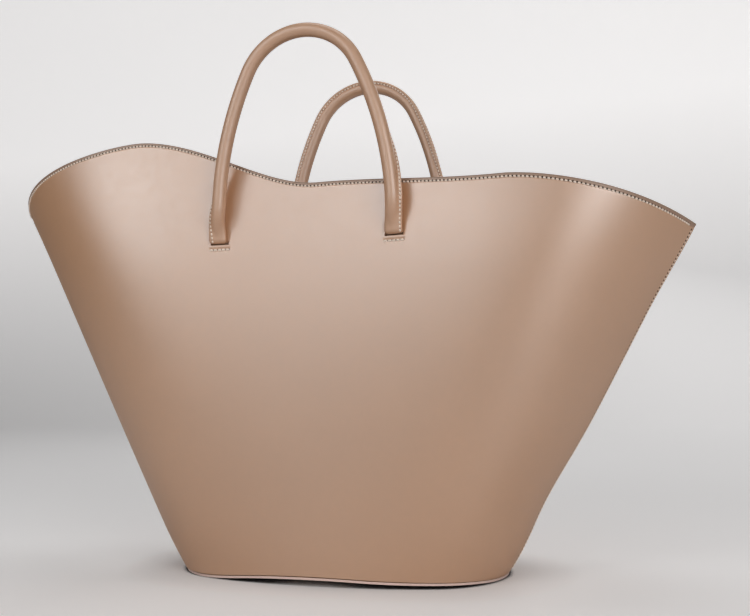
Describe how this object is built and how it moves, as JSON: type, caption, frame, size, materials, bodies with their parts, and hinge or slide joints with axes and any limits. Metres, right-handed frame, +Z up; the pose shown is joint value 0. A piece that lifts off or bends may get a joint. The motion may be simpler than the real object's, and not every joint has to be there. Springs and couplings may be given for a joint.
{
  "type": "trapeze bag",
  "caption": "Flared open-topped leather tote: oval arched base, side seams fanning out to two wings, a dipped rim and rolled handles hinged at slots in the panels.",
  "frame": {"origin": "on the surface that the bag stands on, under the middle of its base", "axes": "+X along the bag to the right seam, as seen from the front; +Y from the front panel to the back panel; +Z up"},
  "size_m": [0.592, 0.1709, 0.4327],
  "materials": {
    "leather": "smooth satin calf leather",
    "handle_leather": "smooth satin calf leather, rolled",
    "lining": "suede lining",
    "board": "matt stiffening board",
    "cord": "twisted cotton cord"
  },
  "bodies": {
    "bag": {"front_panel": "leather", "back_panel": "leather", "front_facing": "leather", "back_facing": "leather", "front_lining": "lining", "back_lining": "lining", "base_panel": "leather", "base_board": "board", "base_lining": "lining", "front_left_tab": "leather", "front_right_tab": "leather", "back_left_tab": "leather", "back_right_tab": "leather"},
    "front_handle": {"front_handle": "handle_leather", "front_handle_cord": "cord"},
    "back_handle": {"back_handle": "handle_leather", "back_handle_cord": "cord"}
  },
  "joints": [
    {"name": "front_handle_swing", "type": "hinge", "parent": "bag", "child": "front_handle", "pos_m": [0, -0.06984, 0.259], "axis": [1, 0, 0], "range_deg": [-4, 140]},
    {"name": "back_handle_swing", "type": "hinge", "parent": "bag", "child": "back_handle", "pos_m": [0, 0.06984, 0.259], "axis": [-1, 0, 0], "range_deg": [-8, 136]}
  ]
}
